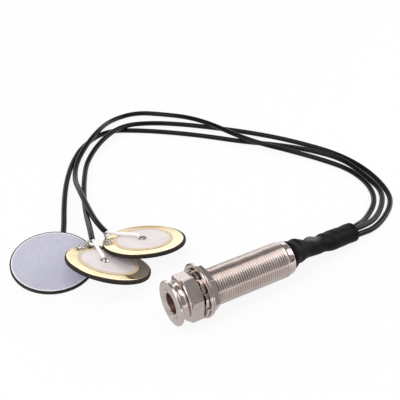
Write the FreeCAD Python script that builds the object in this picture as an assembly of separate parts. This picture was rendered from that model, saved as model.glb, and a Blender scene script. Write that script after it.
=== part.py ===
# Piezo contact pickup: three discs on screened leads, joined in a sleeve to an end-pin jack
import FreeCAD, Part
import math
import os
from FreeCAD import Vector, Placement, Rotation

os.makedirs("parts", exist_ok=True)

# Every size is in millimetres and every angle in degrees.
# The floor is z = 0, x runs to the right of the loop of leads and y away from the jack.

# End button and its six-sided collar
PLUG_BORE_R = 3.2            # takes a 6.35 mm plug
BARREL_WALL = 2.7
THREAD_R = PLUG_BORE_R + BARREL_WALL     # over the crests of the 0.794 mm thread
MOUTH_R = PLUG_BORE_R + 0.7  # countersunk mouth of the bore
MOUTH_DEPTH = 0.6
BUTTON_R = THREAD_R + 1.25
BUTTON_T = 1.1
BUTTON_EDGE = 0.35
NECK_R = THREAD_R - 0.7      # narrowest place of the hollow neck
NECK_ROOT_R = NECK_R + 0.55  # where the neck leaves the back of the button
NECK_WAIST = 2.0
FLARE_R = THREAD_R + 0.85
COLLAR_START = 3.7
COLLAR_LENGTH = 4.4
COLLAR_FLATS = 2 * (THREAD_R + 0.9)
COLLAR_TURN = 36.6           # angle of the first corner, from level toward the top
CHAMFER_ANGLE = 15.0

# Threaded barrel
SPIGOT_R = THREAD_R - 1.3    # plain front end, seen as a ring in the button
SPIGOT_LENGTH = 4.9
END_RING_LENGTH = 2.4
END_RING_R = THREAD_R - 0.55
END_STEP = 0.15
BORE_LENGTH = 24.0
CAVITY_WALL = 1.2
CAVITY_R = THREAD_R - CAVITY_WALL
PIN_HOLE_R = 0.55
PIN_HOLE_ANGLE = 152.0
PIN_HOLE_BACK = 0.7          # distance of the pin hole from the rear end

# Washers and nut, in their order behind the collar
LOCK_T = 0.6
LOCK_CLEARANCE = 0.12
LOCK_ROOT_R = THREAD_R + 1.05
LOCK_TIP_R = LOCK_ROOT_R + 0.85
LOCK_TEETH = 10
LOCK_TOOTH_W = 2.0
LOCK_TWIST = 22.0
LOCK_SPACE = LOCK_T * math.cos(math.radians(LOCK_TWIST)) + LOCK_TOOTH_W * math.sin(math.radians(LOCK_TWIST))
WIDE_WASHER_R = THREAD_R + 2.8
WIDE_WASHER_T = 0.8
THIN_WASHER_GAP = 0.5
THIN_WASHER_R = THREAD_R + 2.0
THIN_WASHER_T = 0.5
THIN_WASHER_CLEARANCE = 0.1
WASHER_EDGE = 0.12
NUT_FLATS = 2 * (THREAD_R + 0.85)
NUT_T = 2.0
NUT_TURN = 61.5

# Contacts inside the barrel
LINER_WALL = 0.5
LINER_LENGTH = 10.0
CARRIER_T = 2.2
TAG_W = 2.2
TAG_T = 0.35
TIP_TAG_HEIGHT = 0.9         # above the axis, where the tip tag leaves the carrier
TIP_REACH = 5.6              # how far in front of the carrier the contact touches the plug
TIP_TOUCH_R = PLUG_BORE_R - 0.6          # distance of the bowed contact from the axis
TAG_BACK = 8.0               # length of the tags behind the carrier
GROUND_TAG_DROP = CAVITY_R - 2.4
GROUND_RING_WALL = 1.1

# Rear end of the barrel, behind the contacts
REAR_ROOM = 5.6              # thread behind the liner
THREAD_END = BORE_LENGTH + LINER_LENGTH + REAR_ROOM

# How the jack lies
JACK_X = -5.23
JACK_Y = -20.99
CORNER_HEIGHT = 0.89         # reach of the collar's lowest corner below its flat's distance
JACK_Z = COLLAR_FLATS / 2 + CORNER_HEIGHT
JACK_AZIMUTH = 29.57
JACK_RISE = 1.62

# Discs
BRASS_R = 13.5
BRASS_T = 0.25
CERAMIC_R = BRASS_R - 3.5
CERAMIC_T = 0.2
FOAM_R = BRASS_R + 0.4
FOAM_SHIFT = 0.3             # foam stuck on a little off the middle, away from the lead
FOAM_T = 1.05
LINER_R = BRASS_R
LINER_T = 0.1
CORE_R = 0.5
SCREEN_R = 0.45
WIRE_CLEARANCE = 0.04        # under the wires that run over a disc
LEAD_R = 1.0
LEAD_END = BRASS_R           # distance of a lead's end from the middle of its disc
LEAD_HEIGHT = 1.7            # height of a lead's end over its disc
CORE_JOINT_R = 1.6
CORE_JOINT_H = 1.15
RIM_JOINT_R = 1.45
RIM_JOINT_H = 0.95
RIM_JOINT_INSET = 1.6
RIM_JOINT_TURN = 28.0        # from the lead's direction

DISC_2_X = -25.66
DISC_2_Y = 0.22

# Sleeve
SLEEVE_WALL = 0.45
SLEEVE_TUCK = 2.2            # length of the sleeve inside the barrel
SLEEVE_FIT = 0.05
CORE_TAIL_R = 0.4
SCREEN_TAIL_R = 0.45
TIP_JOINT_R = 1.25
GROUND_JOINT_R = 1.05
GROUND_JOINT_H = 1.3

# Middle of the sleeve from the middle of the barrel's rear end, its half width and its half height
SLEEVE = [
    (0.85, 0.55, 0.0, 4.6, 4.6),
    (2.95, 2.6, -0.2, 3.85, 3.9),
    (5.5, 4.95, -0.6, 3.25, 3.4),
    (8.6, 7.4, -1.4, 2.95, 2.95),
    (12.2, 10.15, -2.5, 2.8, 2.7),
    (15.4, 12.95, -3.65, 3.35, 3.1),
    (18.9, 16.1, -4.5, 3.45, 3.2),
    (22.15, 18.8, -5.08, 3.5, 3.25),
    (24.35, 20.4, -5.3, 3.55, 3.3),
]

# Routes of the leads, from the end at the disc to the end inside the sleeve
LEAD_1 = [
    (-43.41, 18.95, 1.46), (-44.1, 26.2, 1.2), (-46.13, 40.1, 1.0), (-47.43, 54.4, 1.0), (-47.23, 69.0, 1.0),
    (-44.73, 82.8, 1.0), (-36.23, 95.9, 1.0), (-21.83, 96.0, 1.0), (-7.53, 94.1, 1.0), (6.57, 91.0, 1.0),
    (20.37, 86.8, 1.0), (34.57, 84.2, 1.0), (48.17, 80.0, 1.0), (61.07, 72.6, 1.0), (67.97, 59.9, 1.0),
    (72.73, 48.09, 1.0), (67.15, 31.23, 1.8), (58.0, 21.5, 4.1), (51.67, 17.3, 5.4),
]
LEAD_2 = [
    (-32.15, 12.17, 6.16), (-33.7, 18.9, 5.6), (-36.7, 31.2, 2.6), (-39.33, 44.1, 1.0), (-40.93, 57.6, 1.0),
    (-41.43, 71.3, 1.0), (-36.63, 83.9, 3.5), (-29.53, 95.7, 3.5), (-17.83, 102.8, 1.0), (-3.93, 101.4, 1.0),
    (9.07, 98.5, 1.0), (22.37, 94.9, 1.0), (35.17, 90.3, 1.0), (47.27, 84.3, 1.0), (58.97, 76.9, 1.0),
    (67.77, 66.8, 1.0), (73.37, 54.1, 1.0), (74.7, 41.76, 1.0), (66.38, 26.62, 1.1), (57.63, 20.3, 2.2),
    (52.37, 16.4, 3.4),
]
LEAD_3 = [
    (-28.28, 18.1, 5.14), (-31.8, 23.2, 4.8), (-36.42, 34.03, 4.2), (-40.61, 45.11, 3.6), (-44.53, 57.0, 1.2),
    (-45.43, 69.5, 1.4), (-42.13, 81.4, 3.4), (-38.53, 93.0, 3.4), (-34.73, 105.4, 1.0), (-24.63, 112.2, 1.0),
    (-11.43, 110.3, 1.0), (-0.73, 104.6, 2.6), (8.97, 96.8, 3.5), (18.07, 88.3, 3.4), (28.07, 81.0, 3.4),
    (40.47, 78.4, 1.4), (51.37, 72.9, 1.0), (61.87, 65.5, 1.0), (67.87, 54.9, 1.0), (68.64, 43.09, 1.0),
    (63.0, 31.3, 1.2), (57.6, 23.9, 3.2), (50.97, 18.2, 3.4),
]


def save(name, shape):
    """Write one piece as a STEP file, after a look at its solids."""
    solids = shape.Solids
    good = shape.isValid() and len(solids) > 0
    out = solids[0] if len(solids) == 1 else Part.makeCompound(solids)
    out.exportStep("parts/" + name + ".step")
    print(name, len(solids), "valid" if good else "NOT VALID", round(shape.Volume, 2))


def turned(profile):
    """A solid turned about the x axis from (x, radius) points."""
    wire = Part.makePolygon([Vector(x, 0, r) for x, r in profile + profile[:1]])
    return Part.Face(wire).revolve(Vector(0, 0, 0), Vector(1, 0, 0), 360)


def line(start, end):
    """A straight edge between two (x, radius) points."""
    return Part.LineSegment(Vector(start[0], 0, start[1]), Vector(end[0], 0, end[1])).toShape()


def arc(start, middle, end):
    """A round edge through three (x, radius) points."""
    places = [Vector(x, 0, r) for x, r in (start, middle, end)]
    return Part.Arc(*places).toShape()


def ring(x, thickness, inner, outer, edge=0.0):
    """A washer about the x axis, with both outer edges eased."""
    far = x + thickness
    points = [(x, inner), (x, outer - edge), (x + edge, outer), (far - edge, outer), (far, outer - edge), (far, inner)]
    if edge == 0.0:
        points = [(x, inner), (x, outer), (far, outer), (far, inner)]
    return turned(points)


def hexagon(x, length, flats, first_corner, front, back):
    """A six-sided prism along x, its corners chamfered by cones at the ends that are asked for."""
    corner = flats / 2 / math.cos(math.radians(30))
    angles = [math.radians(first_corner + 60 * k) for k in range(7)]
    outline = Part.makePolygon([Vector(x, corner * math.cos(a), corner * math.sin(a)) for a in angles])
    prism = Part.Face(outline).extrude(Vector(length, 0, 0))
    reach = corner + 0.5
    circle = flats / 2 - 0.05
    depth = (reach - circle) * math.tan(math.radians(CHAMFER_ANGLE))
    profile = [(x, 0), (x, circle if front else reach)]
    if front:
        profile.append((x + depth, reach))
    if back:
        profile.append((x + length - depth, reach))
    profile += [(x + length, circle if back else reach), (x + length, 0)]
    return prism.common(turned(profile))


def arc_points(before, corner, after):
    """Start, middle, end and radius of the arc that rounds a corner of a route."""
    back = before - corner
    ahead = after - corner
    shorter = min(back.Length, ahead.Length)
    back.normalize()
    ahead.normalize()
    half_turn = (math.pi - back.getAngle(ahead)) / 2
    tangent = 0.45 * shorter
    radius = tangent / math.tan(half_turn)
    bisector = back + ahead
    bisector.normalize()
    depth = radius / math.cos(half_turn) - radius
    return corner + back * tangent, corner + bisector * depth, corner + ahead * tangent, radius


def route(points):
    """A wire of straight runs joined by tangent arcs, its length and its smallest radius."""
    places = [Vector(*p) for p in points]
    edges = []
    radii = []
    start = places[0]
    for before, corner, after in zip(places, places[1:], places[2:]):
        first, middle, last, radius = arc_points(before, corner, after)
        edges.append(Part.LineSegment(start, first).toShape())
        edges.append(Part.Arc(first, middle, last).toShape())
        radii.append(radius)
        start = last
    edges.append(Part.LineSegment(start, places[-1]).toShape())
    wire = Part.Wire(edges)
    return wire, wire.Length, radii


def tube(points, radius, name=""):
    """A round wire or lead along a route."""
    wire, length, radii = route(points)
    first = Vector(*points[0])
    heading = Vector(*points[1]) - first
    section = Part.Wire(Part.makeCircle(radius, first, heading))
    solid = wire.makePipeShell([section], True, False)
    if name:
        expected = math.pi * radius ** 2 * length
        print(name, "length", round(length, 1), "smallest radius", round(min(radii), 1),
              "volume ratio", round(solid.Volume / expected, 4))
        print("   radii", [round(r, 1) for r in radii])
    return solid


def dome(radius, height, x, y, z):
    """A bead of solder: a cap of a ball that stands on a plane."""
    ball = (radius ** 2 + height ** 2) / (2 * height)
    middle = Vector(x, y, z + height - ball)
    keep = Part.makeCylinder(radius + 1, height + 1, Vector(x, y, z))
    return Part.makeSphere(ball, middle).common(keep)


def lean(azimuth, tilt):
    """Turn that leans an upright axis by tilt toward an azimuth."""
    a = math.radians(azimuth)
    return Rotation(Vector(-math.sin(a), math.cos(a), 0), tilt)


# The jack is modelled along x from the face of its button, then laid down
jack_turn = Rotation(Vector(0, 0, 1), JACK_AZIMUTH).multiply(Rotation(Vector(0, 1, 0), -JACK_RISE))
jack_place = Placement(Vector(JACK_X, JACK_Y, JACK_Z), jack_turn)


def lay(shape):
    """Put a piece of the jack where the jack lies."""
    placed = shape.copy()
    placed.Placement = jack_place.multiply(placed.Placement)
    return placed


collar_end = COLLAR_START + COLLAR_LENGTH
barrel_end = THREAD_END + END_RING_LENGTH


def make_strap_button():
    """Button, neck and flare turned in one, with a six-sided collar that screws on the barrel."""
    rim = BUTTON_R - BUTTON_EDGE
    half = BUTTON_EDGE * math.sqrt(0.5)
    edges = [line((0, SPIGOT_R), (0, rim))]
    edges.append(arc((0, rim), (BUTTON_EDGE - half, rim + half), (BUTTON_EDGE, BUTTON_R)))
    edges.append(line((BUTTON_EDGE, BUTTON_R), (BUTTON_T - BUTTON_EDGE, BUTTON_R)))
    edges.append(arc((BUTTON_T - BUTTON_EDGE, BUTTON_R), (BUTTON_T - BUTTON_EDGE + half, rim + half), (BUTTON_T, rim)))
    edges.append(line((BUTTON_T, rim), (BUTTON_T, NECK_ROOT_R)))
    edges.append(arc((BUTTON_T, NECK_ROOT_R), (NECK_WAIST, NECK_R), (COLLAR_START, FLARE_R)))
    edges.append(line((COLLAR_START, FLARE_R), (COLLAR_START, SPIGOT_R)))
    edges.append(line((COLLAR_START, SPIGOT_R), (0, SPIGOT_R)))
    front = Part.Face(Part.Wire(edges)).revolve(Vector(0, 0, 0), Vector(1, 0, 0), 360)
    collar = hexagon(COLLAR_START, COLLAR_LENGTH, COLLAR_FLATS, COLLAR_TURN, True, True)
    bore = turned([(0, 0), (0, SPIGOT_R), (SPIGOT_LENGTH, SPIGOT_R), (SPIGOT_LENGTH, THREAD_R),
                   (collar_end, THREAD_R), (collar_end, 0)])
    return front.fuse(collar).cut(bore).removeSplitter()


def make_barrel():
    """Spigot, threaded sleeve and tapered end ring in one tube, with a pin hole near the rear."""
    outer = turned([
        (0, 0), (0, SPIGOT_R), (SPIGOT_LENGTH, SPIGOT_R), (SPIGOT_LENGTH, THREAD_R), (THREAD_END, THREAD_R),
        (THREAD_END, THREAD_R - END_STEP), (barrel_end - 0.3, END_RING_R), (barrel_end, END_RING_R - 0.3),
        (barrel_end, 0)])
    inner = turned([
        (0, 0), (0, MOUTH_R), (MOUTH_DEPTH, PLUG_BORE_R), (BORE_LENGTH, PLUG_BORE_R), (BORE_LENGTH, CAVITY_R),
        (barrel_end, CAVITY_R), (barrel_end, 0)])
    angle = math.radians(PIN_HOLE_ANGLE)
    outward = Vector(0, math.cos(angle), math.sin(angle))
    pin_hole = Part.makeCylinder(PIN_HOLE_R, THREAD_R, Vector(barrel_end - PIN_HOLE_BACK - PIN_HOLE_R, 0, 0), outward)
    return outer.cut(inner).cut(pin_hole)


def make_lock_washer():
    """A flat ring whose outer teeth are each twisted about their own spoke."""
    middle = collar_end + LOCK_SPACE / 2
    inner = THREAD_R + LOCK_CLEARANCE
    body = ring(middle - LOCK_T / 2, LOCK_T, inner, LOCK_ROOT_R)
    for k in range(LOCK_TEETH):
        tooth = Part.makeBox(LOCK_T, LOCK_TOOTH_W, LOCK_TIP_R - LOCK_ROOT_R + 0.4,
                             Vector(-LOCK_T / 2, -LOCK_TOOTH_W / 2, LOCK_ROOT_R - 0.4))
        tooth.rotate(Vector(0, 0, 0), Vector(0, 0, 1), LOCK_TWIST)
        tooth.rotate(Vector(0, 0, 0), Vector(1, 0, 0), 360.0 * k / LOCK_TEETH)
        tooth.translate(Vector(middle, 0, 0))
        body = body.fuse(tooth)
    return body.removeSplitter()


wide_washer_x = collar_end + LOCK_SPACE
thin_washer_x = wide_washer_x + WIDE_WASHER_T + THIN_WASHER_GAP
nut_x = thin_washer_x + THIN_WASHER_T


def make_wide_washer():
    """The wide washer stands on the floor, so its hole hangs lower than the barrel needs."""
    rise = math.radians(JACK_RISE)
    middle = wide_washer_x + WIDE_WASHER_T / 2
    axis_height = JACK_Z + middle * math.sin(rise)
    rest_height = WIDE_WASHER_R * math.cos(rise) + WIDE_WASHER_T / 2 * math.sin(rise)
    lift = max(rest_height - axis_height, 0.1) / math.cos(rise)
    washer = ring(wide_washer_x, WIDE_WASHER_T, THREAD_R + lift, WIDE_WASHER_R, WASHER_EDGE)
    washer.translate(Vector(0, 0, lift))
    return washer


def make_nut():
    nut = hexagon(nut_x, NUT_T, NUT_FLATS, NUT_TURN, True, True)
    return nut.cut(turned([(nut_x, 0), (nut_x, THREAD_R), (nut_x + NUT_T, THREAD_R), (nut_x + NUT_T, 0)]))


liner_x = BORE_LENGTH
carrier_x = liner_x + LINER_LENGTH
carrier_end = carrier_x + CARRIER_T


def strip(points, width):
    """A bent flat strip of sheet, its middle line drawn in the x-z plane."""
    half = TAG_T / 2
    places = [Vector(x, 0, z) for x, z in points]
    upper = []
    lower = []
    for k, here in enumerate(places):
        before = places[max(k - 1, 0)]
        after = places[min(k + 1, len(places) - 1)]
        along = after - before
        along.normalize()
        out = Vector(-along.z, 0, along.x)
        upper.append(here + out * half)
        lower.append(here - out * half)
    outline = Part.makePolygon(upper + lower[::-1] + upper[:1])
    face = Part.Face(outline)
    face.translate(Vector(0, -width / 2, 0))
    return face.extrude(Vector(0, width, 0))


def make_tip_contact():
    """Sprung strip: solder tag behind the carrier, bowed contact in front of it."""
    height = CAVITY_R - LINER_WALL - TAG_T
    touch_x = carrier_x - TIP_REACH
    return strip([
        (touch_x - 1.6, height - 0.2), (touch_x, TIP_TOUCH_R), (touch_x + 1.6, height - 0.2),
        (carrier_x - 1.2, height - 0.1), (carrier_x - 0.4, TIP_TAG_HEIGHT + 0.2),
        (carrier_x, TIP_TAG_HEIGHT), (carrier_end + TAG_BACK, TIP_TAG_HEIGHT)], TAG_W)


def make_carrier():
    """Insulating disc with a slot for the tip contact."""
    disc = ring(carrier_x, CARRIER_T, 0, CAVITY_R)
    slot = Part.makeBox(CARRIER_T + 1, TAG_W, TAG_T,
                        Vector(carrier_x - 0.5, -TAG_W / 2, TIP_TAG_HEIGHT - TAG_T / 2))
    return disc.cut(slot)


def make_ground_tag():
    """Ring pressed into the barrel behind the carrier, with a tag that runs to the rear."""
    band = ring(carrier_end, TAG_T, CAVITY_R - GROUND_RING_WALL, CAVITY_R)
    tag = Part.makeBox(TAG_BACK, TAG_W, TAG_T, Vector(carrier_end, -TAG_W / 2, -GROUND_TAG_DROP - TAG_T))
    foot = Part.makeBox(TAG_T, TAG_W, CAVITY_R - GROUND_TAG_DROP - 0.3,
                        Vector(carrier_end, -TAG_W / 2, -CAVITY_R + 0.3))
    return band.fuse(tag).fuse(foot).removeSplitter()


tag_end = carrier_end + TAG_BACK
tip_joint_x = tag_end - 0.6
ground_joint_x = tag_end - 1.2
tip_contact = make_tip_contact()
ground_tag = make_ground_tag()
tip_joint = Part.makeSphere(TIP_JOINT_R, Vector(tip_joint_x, 0, TIP_TAG_HEIGHT)).cut(tip_contact)
ground_joint = dome(GROUND_JOINT_R, GROUND_JOINT_H, ground_joint_x, 0, -GROUND_TAG_DROP)

save("strap_button", lay(make_strap_button()))
barrel = lay(make_barrel())
save("jack_barrel", barrel)
save("lock_washer", lay(make_lock_washer()))
save("wide_washer", lay(make_wide_washer()))
save("thin_washer", lay(ring(thin_washer_x, THIN_WASHER_T, THREAD_R + THIN_WASHER_CLEARANCE, THIN_WASHER_R,
                             WASHER_EDGE)))
save("hex_nut", lay(make_nut()))
save("barrel_liner", lay(ring(liner_x, LINER_LENGTH, CAVITY_R - LINER_WALL, CAVITY_R)))
save("contact_carrier", lay(make_carrier()))
save("tip_contact", lay(tip_contact))
save("ground_tag", lay(ground_tag))


# How the discs lie: middle of a face, azimuth it leans toward, tilt, azimuth of its lead.
# The first lies against the second's edge, the third on the second, and each touches the floor.
def rest_height(tilt):
    """Height of the upper face's middle when the lower edge of paper or foam touches the floor."""
    t = math.radians(tilt)
    paper_edge = LINER_R * math.sin(t) + stack * math.cos(t)
    foam_edge = FOAM_R * math.sin(t) + (stack - LINER_T) * math.cos(t)
    return max(paper_edge, foam_edge)


stack = BRASS_T + FOAM_T + LINER_T
DISC_1_LEAN = -62.7
DISC_1_TILT = 7.26
DISC_1_LEAD = 84.8
DISC_2_LEAN = 52.3
DISC_2_TILT = 22.71
DISC_2_LEAD = 119.5
DISC_3_LEAN = 99.9
DISC_3_TILT = 16.53
DISC_3_LEAD = 163.0
DISC_1_FACE = (DISC_2_X - 1.395 * BRASS_R, DISC_2_Y + 0.372 * BRASS_R, rest_height(DISC_1_TILT))
DISC_2_FACE = (DISC_2_X, DISC_2_Y, rest_height(DISC_2_TILT) + 0.05)
DISC_3_FACE = (DISC_2_X + 0.765 * BRASS_R, DISC_2_Y + 1.015 * BRASS_R, rest_height(DISC_3_TILT) + 0.05)

# Disc 1 lies with its brass face down, so it is turned over about its lead before it leans
turn_1 = lean(DISC_1_LEAN, DISC_1_TILT).multiply(Rotation(Vector(0, 0, 1), DISC_1_LEAD))
turn_1 = turn_1.multiply(Rotation(Vector(1, 0, 0), 180))
place_1 = Placement(Vector(*DISC_1_FACE) + turn_1.multVec(Vector(0, 0, stack)), turn_1)
place_2 = Placement(Vector(*DISC_2_FACE), lean(DISC_2_LEAN, DISC_2_TILT).multiply(
    Rotation(Vector(0, 0, 1), DISC_2_LEAD)))
place_3 = Placement(Vector(*DISC_3_FACE), lean(DISC_3_LEAN, DISC_3_TILT).multiply(
    Rotation(Vector(0, 0, 1), DISC_3_LEAD)))

# The sleeve is a shrunk tube: closed curves along its middle line, skinned and hollowed
def sleeve_frame(stations, k):
    """Middle, heading, level and upward directions of the sleeve at one station."""
    here = Vector(*stations[k][:3])
    before = Vector(*stations[max(k - 1, 0)][:3])
    after = Vector(*stations[min(k + 1, len(stations) - 1)][:3])
    heading = after - before
    heading.normalize()
    level = heading.cross(Vector(0, 0, 1))
    level.normalize()
    upward = level.cross(heading)
    return here, heading, level, upward


def loop(middle, level, upward, width, height):
    """A closed smooth curve about a station."""
    points = []
    for k in range(12):
        a = math.radians(30 * k)
        points.append(middle + level * (width * math.cos(a)) + upward * (height * math.sin(a)))
    curve = Part.BSplineCurve()
    curve.interpolate(points, PeriodicFlag=True)
    return Part.Wire(curve.toShape())


def skin(stations, shrink, stretch):
    """A solid through all stations, smaller by shrink and longer by stretch at both ends."""
    wires = []
    last = len(stations) - 1
    for k, station in enumerate(stations):
        here, heading, level, upward = sleeve_frame(stations, k)
        if k == 0:
            here = here - heading * stretch
        if k == last:
            here = here + heading * stretch
        wires.append(loop(here, level, upward, station[3] - shrink, station[4] - shrink))
    return Part.makeLoft(wires, True, False)


tuck_r = CAVITY_R - SLEEVE_FIT
tuck_start = jack_place.multVec(Vector(barrel_end - SLEEVE_TUCK, 0, 0))
tuck_end = jack_place.multVec(Vector(barrel_end, 0, 0))
stations = [tuple(tuck_start) + (tuck_r, tuck_r), tuple(tuck_end) + (tuck_r, tuck_r)]
stations += [(tuck_end.x + x, tuck_end.y + y, tuck_end.z + z, width, height) for x, y, z, width, height in SLEEVE]
heat_shrink = skin(stations, 0.0, 0.0).cut(skin(stations, SLEEVE_WALL, 0.6))
save("heat_shrink", heat_shrink.cut(barrel))


def beside(k, sideways, up):
    """A point at one station of the sleeve, off its middle line."""
    here, heading, level, upward = sleeve_frame(stations, k)
    return tuple(here + level * sideways + upward * up)


# The leads end inside the sleeve, each starts where the disc's own frame puts its end
for points, place in ((LEAD_1, place_1), (LEAD_2, place_2), (LEAD_3, place_3)):
    points[0] = tuple(round(c, 2) for c in place.multVec(Vector(LEAD_END, 0, LEAD_HEIGHT)))
leads = [tube(points, LEAD_R, name) for points, name in ((LEAD_1, "lead_1"), (LEAD_2, "lead_2"), (LEAD_3, "lead_3"))]

# Inside the sleeve the three cores run to the tip tag and the twisted screens to the ground tag
core_paths = [
    [(0.0, 1.5), (0.0, 1.3), (0.0, 1.3), (0.0, 1.35)],
    [(0.85, 0.5), (0.66, 0.4), (0.64, 0.35), (0.6, 0.4)],
    [(-0.85, 0.5), (-0.66, 0.4), (-0.64, 0.35), (-0.6, 0.4)],
]
tail_cores = []
for lead, points, offsets in zip(leads, (LEAD_1, LEAD_2, LEAD_3), core_paths):
    last = Vector(*points[-1])
    back = Vector(*points[-2]) - last
    back.normalize()
    path = [tuple(last + back * 0.3)] + [beside(k, *offset) for k, offset in zip((7, 6, 5, 4), offsets)]
    sideways, up = offsets[-1]
    close_in = jack_place.multVec(Vector(tip_joint_x + 0.9, -sideways, TIP_TAG_HEIGHT + up - 0.75))
    tail_cores.append(tube(path + [tuple(close_in)], CORE_TAIL_R).cut(lead))
tip_joint = lay(tip_joint)
for core in tail_cores:
    tip_joint = tip_joint.cut(core)
save("tail_cores", Part.makeCompound(tail_cores))
save("tip_joint", tip_joint)

ends = [Vector(*points[-1]) for points in (LEAD_1, LEAD_2, LEAD_3)]
screen_start = (ends[0] + ends[1] + ends[2]) / 3
screen_rest = GROUND_TAG_DROP - SCREEN_TAIL_R - 0.02
screen_path = [tuple(screen_start)]
screen_path += [beside(7, 0.0, -0.95), beside(6, 0.0, -1.0), beside(5, 0.0, -1.05), beside(4, 0.0, -1.2)]
screen_path += [tuple(jack_place.multVec(Vector(x, 0, -screen_rest))) for x in (tag_end + 0.6, ground_joint_x)]
tail_screen = tube(screen_path, SCREEN_TAIL_R)
for lead in leads:
    tail_screen = tail_screen.cut(lead)
save("tail_screen", tail_screen)
save("ground_joint", lay(ground_joint).cut(tail_screen))


def placed_back(shape, place):
    """A piece that lies in the whole, seen in the frame of a disc."""
    seen = shape.copy()
    seen.Placement = place.inverse().multiply(seen.Placement)
    return seen


# Discs: the brass face with the ceramic is z = 0 and up, the foam and the release paper lie below it
def make_disc(number, place, lead, steps, joint_x, joint_y, foam_shift):
    """All the pieces of one disc, with the wires that end on it."""
    def put(shape):
        placed = shape.copy()
        placed.Placement = place.multiply(placed.Placement)
        return placed

    start = "disc_" + str(number) + "_"
    save(start + "brass", put(Part.makeCylinder(BRASS_R, BRASS_T, Vector(0, 0, -BRASS_T))))
    save(start + "ceramic", put(Part.makeCylinder(CERAMIC_R, CERAMIC_T)))
    save(start + "foam", put(Part.makeCylinder(FOAM_R, FOAM_T, Vector(-foam_shift, 0, -BRASS_T - FOAM_T))))
    save(start + "paper", put(Part.makeCylinder(
        LINER_R, LINER_T, Vector(-foam_shift, 0, -BRASS_T - FOAM_T - LINER_T))))
    turn = math.radians(RIM_JOINT_TURN)
    rim_x = (BRASS_R - RIM_JOINT_INSET) * math.cos(turn)
    rim_y = (BRASS_R - RIM_JOINT_INSET) * math.sin(turn)
    low = SCREEN_R + WIRE_CLEARANCE
    core_end = (joint_x, joint_y, CERAMIC_T + CORE_R + WIRE_CLEARANCE)
    core = tube([
        (LEAD_END + 0.5, -0.35, LEAD_HEIGHT + 0.1), (LEAD_END - 1.8, steps[0], 0.7 * LEAD_HEIGHT + WIRE_CLEARANCE),
        (CERAMIC_R - 1.4, steps[1], CERAMIC_T + CORE_R + WIRE_CLEARANCE),
        (joint_x + 2 * CORE_JOINT_R, steps[2], CERAMIC_T + CORE_R + WIRE_CLEARANCE), core_end], CORE_R)
    core = core.cut(placed_back(lead, place))
    screen = tube([
        (LEAD_END + 0.5, 0.45, LEAD_HEIGHT - 0.1), (LEAD_END - 0.7, 0.4 * rim_y, 0.6 * LEAD_HEIGHT),
        (LEAD_END - 1.7, 0.7 * rim_y, low + WIRE_CLEARANCE), (rim_x + 0.3, rim_y - 0.1, low)], SCREEN_R)
    screen = screen.cut(placed_back(lead, place)).cut(core)
    core_joint = dome(CORE_JOINT_R, CORE_JOINT_H, joint_x, joint_y, CERAMIC_T).cut(core)
    rim_joint = dome(RIM_JOINT_R, RIM_JOINT_H, rim_x, rim_y, 0.0).cut(screen)
    ceramic = Part.makeCylinder(CERAMIC_R, CERAMIC_T)
    rim_joint = rim_joint.cut(ceramic)
    save(start + "core", put(core))
    save(start + "screen", put(screen))
    save(start + "core_joint", put(core_joint))
    save(start + "rim_joint", put(rim_joint))


# Sideways steps of each core: off the lead, over the ceramic's edge, near the joint; then its joint's place
make_disc(1, place_1, leads[0], (-0.6, -0.9, -0.6), 0.4, 0.0, 0.0)
make_disc(2, place_2, leads[1], (-0.4, -0.2, 0.6), 0.4, 1.2, FOAM_SHIFT)
make_disc(3, place_3, leads[2], (-0.9, -1.7, -2.0), 0.4, -0.4, FOAM_SHIFT)
for points, name, lead in zip((LEAD_1, LEAD_2, LEAD_3), ("lead_1", "lead_2", "lead_3"), leads):
    save(name, lead)
    print("   route", points)
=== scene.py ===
# %% [markdown]
# A contact pickup sticks to the wood of an instrument and feels its vibration. This one has three
# thin piezo discs, each on its own screened lead, and a jack that doubles as a strap button.
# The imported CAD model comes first: it is the frame that every piece below has to fit.

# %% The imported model
import math

import bmesh
import bpy
import numpy as np
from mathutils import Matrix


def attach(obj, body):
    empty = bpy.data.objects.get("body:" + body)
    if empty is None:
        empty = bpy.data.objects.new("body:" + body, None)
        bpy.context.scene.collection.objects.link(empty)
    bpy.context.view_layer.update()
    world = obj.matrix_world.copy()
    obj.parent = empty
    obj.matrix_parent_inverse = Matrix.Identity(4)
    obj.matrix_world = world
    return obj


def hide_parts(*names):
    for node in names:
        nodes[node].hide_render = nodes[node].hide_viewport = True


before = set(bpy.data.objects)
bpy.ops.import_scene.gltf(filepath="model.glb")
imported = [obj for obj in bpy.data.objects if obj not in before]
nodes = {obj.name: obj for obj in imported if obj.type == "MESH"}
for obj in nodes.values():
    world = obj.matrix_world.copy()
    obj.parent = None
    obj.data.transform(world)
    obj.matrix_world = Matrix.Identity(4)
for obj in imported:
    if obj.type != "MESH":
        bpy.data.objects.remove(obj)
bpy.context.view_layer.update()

# %% [markdown]
# The camera stands where the photographer stood: about 25 cm away, looking down by 34 degrees,
# with a lens long enough that a 400 pixel frame has a focal length of 780 pixels.

# %% The camera
FRAME_PX = 400
FOCAL_PX = 780
LOOK_DOWN = 34.3

view = bpy.data.cameras.new("view")
view.sensor_width = 36
view.lens = 36 * FOCAL_PX / FRAME_PX
view.clip_start = 0.01
camera = bpy.data.objects.new("camera", view)
camera.location = (0.00367, -0.1947, 0.1635)
camera.rotation_euler = (math.radians(90 - LOOK_DOWN), 0, 0)
bpy.context.scene.collection.objects.link(camera)
bpy.context.scene.camera = camera
print("lens", round(view.lens, 1), "mm")

# %% [markdown]
# The leads are 2 mm screened cable, limp enough to lie flat and stiff enough to sweep in wide curves.
# A NURBS curve suits that: its control points are the corners of the CAD route, and the line between
# them stays smooth however few they are. The bevel gives it the round section of the jacket: it is one
# metre deep and is scaled at each point by the jacket's radius, which keeps the curve's box true too.

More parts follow.
